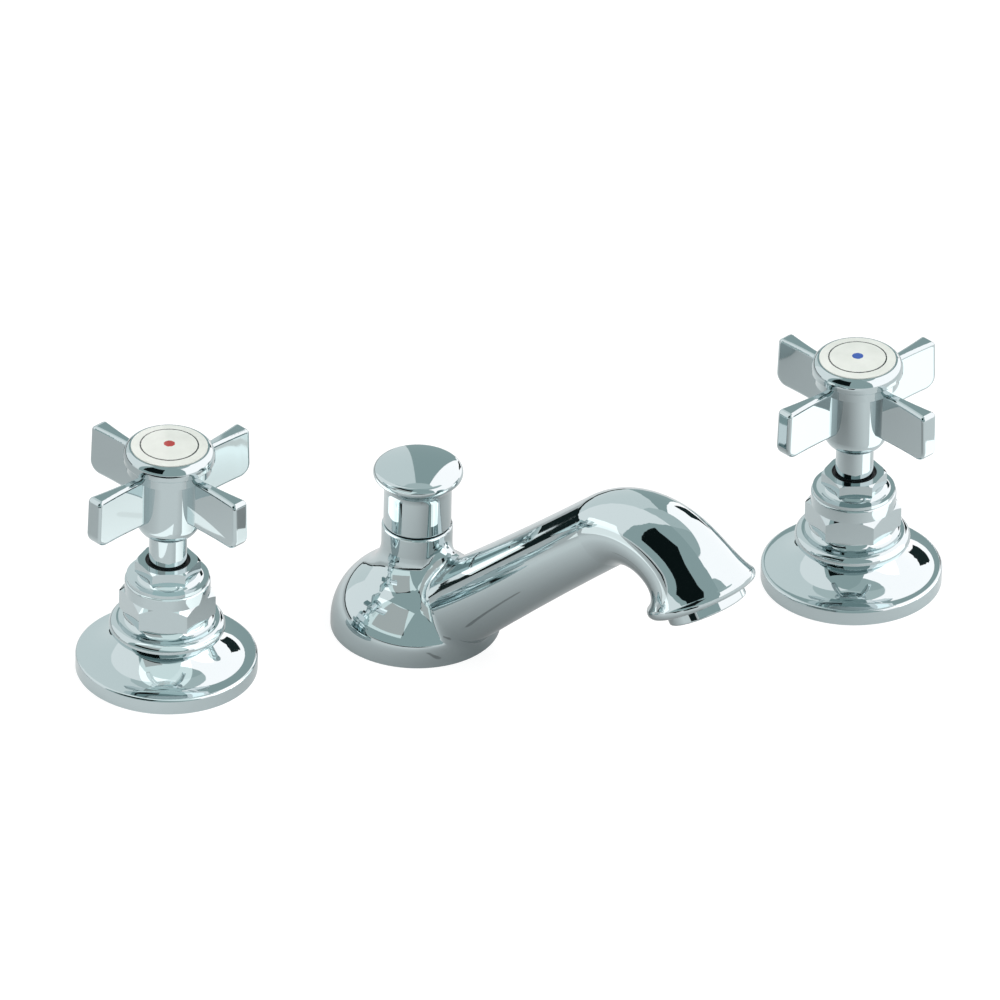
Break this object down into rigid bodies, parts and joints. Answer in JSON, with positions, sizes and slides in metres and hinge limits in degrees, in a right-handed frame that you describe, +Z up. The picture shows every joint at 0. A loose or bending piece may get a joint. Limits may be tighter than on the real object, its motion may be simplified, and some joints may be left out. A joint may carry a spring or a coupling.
{
  "type": "basin mixer",
  "caption": "Three-hole basin mixer: hot and cold cross-handle valves on bell bases, and a swan-neck spout on a domed base with a pop-up waste lift knob.",
  "frame": {"origin": "centre of the spout's base on the deck", "axes": "+Z up, +X along the row from the hot valve to the cold valve, -Y towards the user"},
  "size_m": [0.2741, 0.1361, 0.2068],
  "materials": {
    "polished_chrome": "polished chrome plate on cast brass",
    "porcelain": "glazed white porcelain",
    "seal_rubber": "moulded black rubber",
    "disc_ceramic": "lapped alumina ceramic",
    "raw_brass": "machined brass, not plated",
    "stainless": "drawn stainless steel",
    "aerator_plastic": "moulded white acetal"
  },
  "bodies": {
    "deck_set": {"hot_gland_nut": "polished_chrome", "hot_gland_seal": "seal_rubber", "hot_bonnet": "polished_chrome", "hot_clamp_ring": "polished_chrome", "hot_escutcheon": "polished_chrome", "hot_fixed_disc": "disc_ceramic", "hot_disc_seal": "seal_rubber", "hot_valve_body": "raw_brass", "hot_flange_gasket": "seal_rubber", "hot_deck_washer": "seal_rubber", "hot_clamp_washer": "stainless", "hot_backnut": "raw_brass", "cold_gland_nut": "polished_chrome", "cold_gland_seal": "seal_rubber", "cold_bonnet": "polished_chrome", "cold_clamp_ring": "polished_chrome", "cold_escutcheon": "polished_chrome", "cold_fixed_disc": "disc_ceramic", "cold_disc_seal": "seal_rubber", "cold_valve_body": "raw_brass", "cold_flange_gasket": "seal_rubber", "cold_deck_washer": "seal_rubber", "cold_clamp_washer": "stainless", "cold_backnut": "raw_brass", "spout_body": "polished_chrome", "aerator_housing": "polished_chrome", "aerator_insert": "aerator_plastic", "aerator_washer": "seal_rubber", "rod_gland": "raw_brass", "rod_oring": "seal_rubber", "guide_tube": "raw_brass", "spout_shank": "raw_brass", "spout_base_gasket": "seal_rubber", "spout_deck_washer": "seal_rubber", "spout_clamp_washer": "stainless", "spout_backnut": "raw_brass", "inlet_tee": "raw_brass", "tee_gland_nut": "raw_brass"},
    "hot_handle": {"hot_index_disc": "porcelain", "hot_index_bezel": "polished_chrome", "hot_handle_screw": "stainless", "hot_cross_handle": "polished_chrome", "hot_stem_sleeve": "polished_chrome", "hot_spindle": "raw_brass", "hot_spindle_oring": "seal_rubber", "hot_rotating_disc": "disc_ceramic"},
    "cold_handle": {"cold_index_disc": "porcelain", "cold_index_bezel": "polished_chrome", "cold_handle_screw": "stainless", "cold_cross_handle": "polished_chrome", "cold_stem_sleeve": "polished_chrome", "cold_spindle": "raw_brass", "cold_spindle_oring": "seal_rubber", "cold_rotating_disc": "disc_ceramic"},
    "waste_lift": {"waste_knob": "polished_chrome", "lift_rod": "stainless"}
  },
  "joints": [
    {"name": "hot_handle_turn", "type": "hinge", "parent": "deck_set", "child": "hot_handle", "pos_m": [-0.07984, -0.00567, 0.05], "axis": [0, 0, 1], "range_deg": [0, 90]},
    {"name": "cold_handle_turn", "type": "hinge", "parent": "deck_set", "child": "cold_handle", "pos_m": [0.13656, -0.00567, 0.05], "axis": [0, 0, 1], "range_deg": [-90, 0]},
    {"name": "waste_knob_lift", "type": "slide", "parent": "deck_set", "child": "waste_lift", "axis": [0, 0, 1], "range_m": [0, 0.03]}
  ]
}
